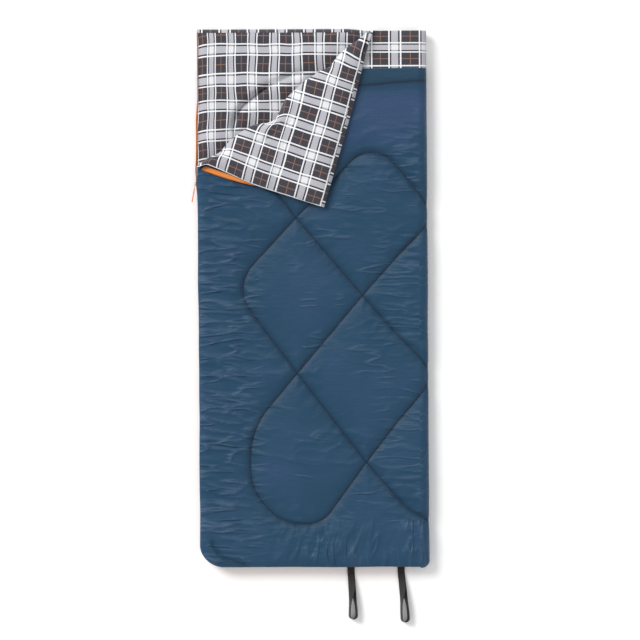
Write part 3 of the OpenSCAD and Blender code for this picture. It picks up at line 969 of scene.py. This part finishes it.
STITCH, STITCH_PITCH, STITCH_R = 5.6 * MM, 7.2 * MM, 0.8 * MM
STITCH_RINGS = ((0, 0.35, -0.8), (0.18, 0.9, 0), (0.5, 1, 0.25), (0.82, 0.9, 0), (1, 0.35, -0.8))


def path_marks(path):
    """The length along a path at each of its points."""
    return np.concatenate([[0], np.cumsum(np.linalg.norm(np.diff(path, axis=0), axis=1))])


def on_path(values, marks, at):
    """Values that belong to a path's points, read at other lengths along it."""
    return np.stack([np.interp(at, marks, column) for column in values.T], 1)


def walk(path, pitch):
    """Points and directions at equal steps along a path."""
    marks = path_marks(path)
    at = np.arange(pitch / 2, marks[-1], pitch)
    ways = on_path(path, marks, at + 1 * MM) - on_path(path, marks, at - 1 * MM)
    return on_path(path, marks, at), ways / np.linalg.norm(ways, axis=1, keepdims=True)


def stitch_mesh(name, ends):
    """A row of small thread capsules between pairs of ends."""
    verts, faces = [], []
    for a, b in ends:
        way = (b - a) / np.linalg.norm(b - a)
        side = np.cross(way, (0, 0, 1))
        side = side / np.linalg.norm(side)
        up = np.cross(side, way)
        first = len(verts)
        for share, radius, sink in STITCH_RINGS:
            centre = a + (b - a) * share + up * sink * STITCH_R
            for k in range(6):
                spoke = side * math.cos(k * math.pi / 3) + up * math.sin(k * math.pi / 3)
                verts.append(centre + spoke * radius * STITCH_R)
        for ring in range(4):
            for k in range(6):
                p, q = first + ring * 6 + k, first + ring * 6 + (k + 1) % 6
                faces.append((p, q, q + 6, p + 6))
        faces.append(tuple(first + k for k in range(5, -1, -1)))
        faces.append(tuple(first + 24 + k for k in range(6)))
    return mesh_object(name, verts, faces)


def over_roll(x, z):
    """Carries points past the flat of the cover over the folded side."""
    turn = np.maximum(x - (FOLD_X - ROLL_R), 0) / ROLL_R
    return np.where(turn > 0, FOLD_X - ROLL_R * (1 - np.sin(turn)), x), MID_Z + (z - MID_Z) * np.cos(turn)


def quilt_stitches(name, height, keep, far_x, fold=None, lift=0.5 * MM, material="thread"):
    """Stitches along the quilting lines, on one cloth surface, where keep allows."""
    starts, ends = [], []
    for path in PATHS:
        points, ways = walk(path, STITCH_PITCH)
        inside = (points[:, 0] < far_x) & keep(*turn_place(points[:, 0], points[:, 1]))
        starts.append((points - ways * STITCH / 2)[inside])
        ends.append((points + ways * STITCH / 2)[inside])
    placed = []
    for xy in (np.concatenate(starts), np.concatenate(ends)):
        x, y = xy.T
        z = height(x, y) + lift
        x, z = over_roll(x, z)
        x, y = waved(x, y)
        if fold:
            x, y, z = fold_corner(x, y, z, *fold)
        placed.append(np.stack([x, y, z], 1))
    stitches = dress(stitch_mesh(name, list(zip(*placed))), "thread")
    stitches.data.materials[0] = MAT[material]
    return stitches


def stitching():
    cover = quilt_stitches("cover_quilt_stitches", cover_outer,
                           lambda u, t: u > SHELL_FOLD_HALF, FOLD_X)
    ride(cover, "cover", "cover_quilt_thread")
    base = quilt_stitches("base_quilt_stitches", base_inner, lambda u, t: u < 9,
                          FOLD_X - ROLL_R, material="lining_thread")
    ride(base, "base", "base_quilt_thread")
    flap = quilt_stitches("flap_quilt_stitches", cover_inner, lambda u, t: u < -FOLD_HALF,
                          FOLD_X, (FOLD_HALF, roll_reach), -0.4 * MM, "lining_thread")
    ride(flap, "corner_flap", "flap_quilt_thread")


# ---------- Zip ----------

COIL_PITCH, COIL_WIRE, COIL_STEPS = 3.2 * MM, 0.45 * MM, 8
TAPE_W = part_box("base_zip_tape")[1].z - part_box("base_zip_tape")[0].z
TAPE_THICK = 0.7 * MM
TAPE_SHOWN = 12 * MM       # the rest of an edge's tape lies sewn in under the padding


def outline_path(y_top):
    """The bag's edge from the zip side, round the corner, to the zip's far end at the foot."""
    r = ZIP_CORNER_R
    side = [(ZIP_X, y) for y in np.arange(y_top, FOOT_Y + r, -20 * MM)]
    turn = [(ZIP_X + r - r * math.cos(a), FOOT_Y + r - r * math.sin(a))
            for a in np.linspace(0, math.pi / 2, 13)]
    foot = [(x, FOOT_Y) for x in np.arange(ZIP_X + r + 20 * MM, ZIP_END_X, 20 * MM)]
    return np.array(side + turn + foot + [(ZIP_END_X, FOOT_Y)])


def zip_lean(y):
    """How far the base's free tape leans out, just above the slider."""
    return 6.5 * MM * ramp(HEAD_Y - y, 0.22, 0.33) * ramp(y - SLIDER_Y, 0.0, 0.05)


def edge_points(y_top, pitch):
    """Points along the zipped edge, the level directions out of the bag, and the free tape's lean."""
    points, ways = walk(outline_path(y_top), pitch)
    out = np.stack([ways[:, 1], -ways[:, 0]], 1)
    return np.stack(waved(*points.T), 1), out, zip_lean(points[:, 1])


def raised(xy, z):
    """Plan points at a height, or each at its own."""
    return np.column_stack([xy, 0 * xy[:, 0] + z])


def two_faced(shares):
    """Each share of a tape's width with 1 for its front, and then back again with 0 for its back."""
    return [(share, 1) for share in shares] + [(share, 0) for share in shares[::-1]]


def edge_tape(name, y_top, sign, coil_z):
    """A zip tape that stands in the seam between shell and lining, up to its coil."""
    points, out, lean = edge_points(y_top, 6 * MM)
    rows = []
    for share, face in two_faced(np.linspace(0, 1, 6)):
        offset = lean * (sign < 0) * (1 - share) ** 1.5 + TAPE_THICK * face
        rows.append(raised(points + out * offset[:, None], coil_z + sign * share * TAPE_SHOWN))
    return tape_mesh(name, rows, flip=sign > 0)


def tape_mesh(name, rows, flip=False):
    """A tape from the rows of points round its section."""
    verts = np.stack(rows, 1)
    faces = ring_faces(*verts.shape[:2], flip)
    return dress(mesh_object(name, verts.reshape(-1, 3), faces), "zip_tape")


def ring_faces(rows, columns, flip=False):
    """Faces of a tube whose rows are closed rings, with its two ends shut."""
    faces = []
    for i in range(rows - 1):
        for j in range(columns):
            k = (j + 1) % columns
            face = (i * columns + j, i * columns + k, (i + 1) * columns + k, (i + 1) * columns + j)
            faces.append(face[::-1] if flip else face)
    ends = [tuple(range(columns))[::-1], tuple((rows - 1) * columns + j for j in range(columns))]
    return faces + ([e[::-1] for e in ends] if flip else ends)


def coil_mesh(name, path, outs, ups, half_w, half_h, phase=0.0):
    """A nylon coil wound along a path; outs and ups are its two cross directions."""
    marks = path_marks(path)
    at = np.linspace(0, marks[-1], int(marks[-1] / COIL_PITCH) * COIL_STEPS)
    centre, out, up = [on_path(values, marks, at) for values in (path, outs, ups)]
    angle = (at / COIL_PITCH + phase) * 2 * math.pi
    spoke = out * np.cos(angle)[:, None] * half_w + up * np.sin(angle)[:, None] * half_h
    wire = centre + spoke
    ahead = np.gradient(wire, axis=0)
    ahead = ahead / np.linalg.norm(ahead, axis=1, keepdims=True)
    radial = spoke / np.linalg.norm(spoke, axis=1, keepdims=True)
    other = np.cross(ahead, radial)
    rings = [wire + COIL_WIRE * (radial * math.cos(a) + other * math.sin(a))
             for a in np.arange(4) * math.pi / 2]
    verts = np.stack(rings, 1)
    return dress(mesh_object(name, verts.reshape(-1, 3), ring_faces(len(at), 4)), "zip_coil")


def edge_path(y_top, z):
    """Where a coil runs along the bag's edge, and the directions out of the bag."""
    points, out, lean = edge_points(y_top, 4 * MM)
    return raised(points + out * (lean * (z < MID_Z))[:, None], z), raised(out, 0)


def edge_coil(name, y_top, z, phase):
    path, outs = edge_path(y_top, z)
    return coil_mesh(name, path, outs, raised(0 * outs[:, :2], 1), 0.9 * MM, 1.3 * MM, phase)


def crimp(name, node, body, at, way, size):
    """A small metal piece clamped over the end of a coil. size is its length, width and height."""
    way = np.array(way) / np.linalg.norm(way)
    side = np.cross((0, 0, 1), way)
    verts = []
    for along, share in ((-0.5, 0.6), (-0.42, 0.9), (-0.3, 1), (-0.08, 1), (0, 0.82), (0.08, 1), (0.3, 1),
                         (0.42, 0.9), (0.5, 0.6)):
        for k in range(12):
            angle = k * math.pi / 6
            square = max(abs(math.cos(angle)), abs(math.sin(angle))) ** 0.6
            across, up = math.cos(angle) / square * size[1] / 2, math.sin(angle) / square * size[2] / 2
            spoke = side * across + np.array((0, 0, up))
            verts.append(np.array(at) + way * along * size[0] + spoke * share)
    obj = dress(mesh_object(name, verts, ring_faces(9, 12)), "metal")
    ride(obj, body, node)


def zip_ends():
    """The stop at the base's head, and the box and pin that start the zip at the foot."""
    for name, node, body, end in (("base_stop_crimp", "base_zip_stop", "base", 0),
                                  ("retainer_box_clamp", "zip_retainer_box", "base", -1),
                                  ("insertion_pin_clamp", "zip_insertion_pin", "cover", -1)):
        low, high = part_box(node)
        path = edge_path(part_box(body + "_zip_coil")[1].y, BASE_COIL_Z if body == "base" else COVER_COIL_Z)[0]
        x, y, z = high - low
        size = (y, x, z) if end == 0 else (x, y, z)
        crimp(name, node, body, (path[end][0], path[end][1], (low.z + high.z) / 2),
              path[end] - path[end - 1 if end else 1], size)


FLAP_TAPE_STEP = 6 * MM
CRIMP_SIZE = (5 * MM, 3.4 * MM, 2.4 * MM)


def flap_tape_place():
    """Points of the turned corner's zip edge, the direction out of it, and the tape's reach there."""
    start = np.array([ZIP_X, TURN_START_Y])
    edge = np.array([0, 1.0])
    along = edge - 2 * (edge @ TURN_OUT) * TURN_OUT
    out = np.array([along[1], -along[0]])
    s = np.arange(20 * MM, ZIP_HEAD_Y - start[1], FLAP_TAPE_STEP)
    reach = 20 * MM - 34 * MM * ramp(s, 0.05, 0.35)
    points = start[None, :] + along[None, :] * s[:, None]
    away = turn_place(*points.T)[0]
    points = points - TURN_DIR[None, :] * (FLAP_SHEAR * np.maximum(away, 0))[:, None]
    points[:, 1] += gathered(s)
    rise = TURN_Z + (-11.5 + 14 * ramp(s, -0.004, 0.05) + 0.7 * ramp(s, 0.05, 0.25)) * MM
    return points, out, reach, rise


def flap_zip():
    """The tape and coil that the turned-back corner shows along its zip edge."""
    points, out, reach, rise = flap_tape_place()
    rows = []
    for share, face in two_faced(np.linspace(0, 1, 5)):
        offset = reach - TAPE_W * (1 - share)
        sag = 0.8 * MM * math.sin(share * math.pi)
        rows.append(raised(points + out * offset[:, None], rise + sag + TAPE_THICK * (face - 0.5)))
    ride(tape_mesh("flap_zip_tape_cloth", rows), "corner_flap", "flap_zip_tape")
    path = raised(points + out * (reach - 0.9 * MM)[:, None], rise + 1.1 * MM)
    level = 0 * points
    coil = coil_mesh("flap_zip_coil_teeth", path, raised(level + out, 0), raised(level, 1),
                     1.3 * MM, 0.8 * MM)
    ride(coil, "corner_flap", "flap_zip_coil")
    crimp("flap_stop_crimp", "flap_zip_stop", "corner_flap", path[-1], path[-1] - path[-2], CRIMP_SIZE)


def zips():
    for body, sign, coil_z, phase in (("base", -1, BASE_COIL_Z, 0.0), ("cover", 1, COVER_COIL_Z, 0.5)):
        y_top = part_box(body + "_zip_tape")[1].y
        tape = edge_tape(body + "_zip_tape_cloth", y_top, sign, coil_z + sign * 2.0 * MM)
        ride(tape, body, body + "_zip_tape")
        coil_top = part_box(body + "_zip_coil")[1].y
        coil = edge_coil(body + "_zip_coil_teeth", coil_top, coil_z + sign * 0.6 * MM, phase)
        ride(coil, body, body + "_zip_coil")
    flap_zip()
    zip_ends()


# ---------- Webbing loops ----------


LOOP_TWIST = math.radians(73)
EYE_HALF = 12.5 * MM       # half of the eye's height, where the webbing turns back
WEB_THICK = 1.5 * MM
# Shares of the width and the thickness, round a section of the webbing
WEB_SECTION = ((-0.5, -0.3), (-0.5, 0.3), (-0.46, 0.5), (0, 0.56), (0.46, 0.5),
               (0.5, 0.3), (0.5, -0.3), (0.46, -0.5), (0, -0.44), (-0.46, -0.5))
ROOT_SECTION = [point for point in WEB_SECTION if point[0]]
ROOT_IN = 30 * MM          # the webbing is sewn in this far behind the foot's edge
LOOP_SLACK = 8 * MM        # the webbing's curve keeps its tip this far short of its flat length


def loop_strip(name, body, root_node, lean):
    """Webbing that leaves the foot flat, twists on edge and opens into an eye."""
    low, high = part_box(root_node)
    box_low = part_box(name)[0]
    start_x, start_y = (low.x + high.x) / 2, low.y
    root_z, width = (low.z + high.z) / 2, high.x - low.x
    reach = start_y - box_low.y - LOOP_SLACK
    steps = np.linspace(0, 1, 60)
    ahead = steps * (reach - EYE_HALF)
    side = [(d, 1) for d in ahead] + [(reach - EYE_HALF + EYE_HALF * math.sin(a), math.cos(a))
                                      for a in np.linspace(0.2, math.pi - 0.2, 11)]
    side += [(d, -1) for d in ahead[::-1]]
    rings = []
    for d, way in side:
        twist = float(ramp(d, 8 * MM, 118 * MM)) * LOOP_TWIST
        opened = float(ramp(d, 8 * MM, 150 * MM)) * (EYE_HALF - 0.8 * MM) + 0.8 * MM
        offset = opened * way
        lift_off = opened * abs(way) * math.cos(twist)
        centre_z = root_z + (width / 2 + 0.2 * MM - root_z) * math.sin(twist)
        across = np.array([math.cos(twist), 0, math.sin(twist)])
        stack = np.array([-math.sin(twist), 0, math.cos(twist)])
        bow = 1.5 * MM * math.sin(min(d / reach, 1) * math.pi)
        centre = np.array([bow, -d, centre_z + lift_off * 0.7]) + stack * offset
        tip = max(0.0, (d - (reach - EYE_HALF)) / EYE_HALF)
        normal = stack * way * (1 - tip) + np.array([0, -1, 0]) * tip
        normal = normal / np.linalg.norm(normal)
        for across_share, out_share in WEB_SECTION:
            rings.append(centre + across * across_share * width + normal * out_share * WEB_THICK)
    points = np.array(rings)
    angle = math.radians(lean)
    turned = np.stack([points[:, 0] * math.cos(angle) - points[:, 1] * math.sin(angle),
                       points[:, 0] * math.sin(angle) + points[:, 1] * math.cos(angle), points[:, 2]], 1)
    verts = turned + (start_x, start_y, 0)
    verts[:, 2] = np.maximum(verts[:, 2], 0.1 * MM)
    obj = dress(mesh_object(name + "_webbing", verts, ring_faces(len(side), 10)), "webbing")
    ride(obj, body, name)


def loop_root(node):
    """The doubled webbing that is sewn in at the foot."""
    low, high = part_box(node)
    middle, width, root_z = (low.x + high.x) / 2, high.x - low.x, (low.z + high.z) / 2
    rings = []
    for y in (FOOT_Y + ROOT_IN, FOOT_Y + ROOT_IN / 2, FOOT_Y, low.y):
        for across, up in ROOT_SECTION:
            rings.append((middle + across * width, y, root_z + up * 2 * WEB_THICK))
    faces = ring_faces(4, len(ROOT_SECTION), flip=True)
    ride(dress(mesh_object(node + "_webbing", rings, faces), "webbing"), "base", node)


def loops():
    for side, lean in (("left", 2.5), ("right", 4.5)):
        root_node = "loop_%s_root" % side
        loop_strip("loop_" + side, side + "_loop", root_node, lean)
        loop_root(root_node)


# ---------- Camera, light and floor ----------

VIEW_WIDTH = 2.236    # width of the view at the height of the cover
LENS, SENSOR = 200, 36
CAMERA_ACROSS, CAMERA_DOWN, CAMERA_TURN = 0.4298, 1.0204, -0.25    # from the zip side's head corner
SKY_STRENGTH = 0.66
FLOOR_HALF, FLOOR_DROP = 30, 0.5 * MM
LIGHTS = [
    # name, direction, spread in degrees, strength
    ("key", (-2.2, 1.9, 2.1), 30, 2.6),
    ("fill", (1.6, -1.6, 3.0), 60, 0.3),
]


def stage():
    distance = VIEW_WIDTH * LENS / SENSOR
    data = bpy.data.cameras.new("camera")
    data.lens, data.sensor_width = LENS, SENSOR
    camera = bpy.data.objects.new("camera", data)
    bpy.context.scene.collection.objects.link(camera)
    camera.location = (ZIP_X + CAMERA_ACROSS, HEAD_Y - CAMERA_DOWN, COVER_TOP + distance)
    camera.rotation_euler = (0, 0, math.radians(CAMERA_TURN))
    bpy.context.scene.camera = camera
    corners = [(x * FLOOR_HALF, y * FLOOR_HALF, 0) for x, y in ((-1, -1), (1, -1), (1, 1), (-1, 1))]
    floor = mesh_object("floor", corners, [(0, 1, 2, 3)])
    floor.data.materials.append(floor_material())
    floor.location.z = -FLOOR_DROP
    floor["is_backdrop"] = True
    world = bpy.data.worlds.new("studio")
    world.use_nodes = True
    sky = world.node_tree.nodes["Background"]
    sky.inputs[0].default_value = (1, 1, 1, 1)
    sky.inputs[1].default_value = SKY_STRENGTH
    bpy.context.scene.world = world
    for name, place, size, power in LIGHTS:
        lamp = bpy.data.lights.new(name, "SUN")
        lamp.angle, lamp.energy = math.radians(size), power
        obj = bpy.data.objects.new(name, lamp)
        obj.location = place
        obj.rotation_euler = (-Vector(place)).to_track_quat("-Z", "Y").to_euler()
        bpy.context.scene.collection.objects.link(obj)
    bpy.context.scene.view_settings.view_transform = "Standard"


def dress_cad():
    """Gives each CAD node that still shows its material, by its slot."""
    for part in frame["record"]["subparts"]:
        node = frame["nodes"][part["node"]]
        node.data.materials.clear()
        node.data.materials.append(MAT[part["material_slot"]])


stage()
PUFF = refine(refine(simulate_quilting()))
outer_cloth()
inner_cloth()
stitching()
zips()
loops()
dress_cad()
VISUAL_BOX = [list(corner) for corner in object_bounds()]
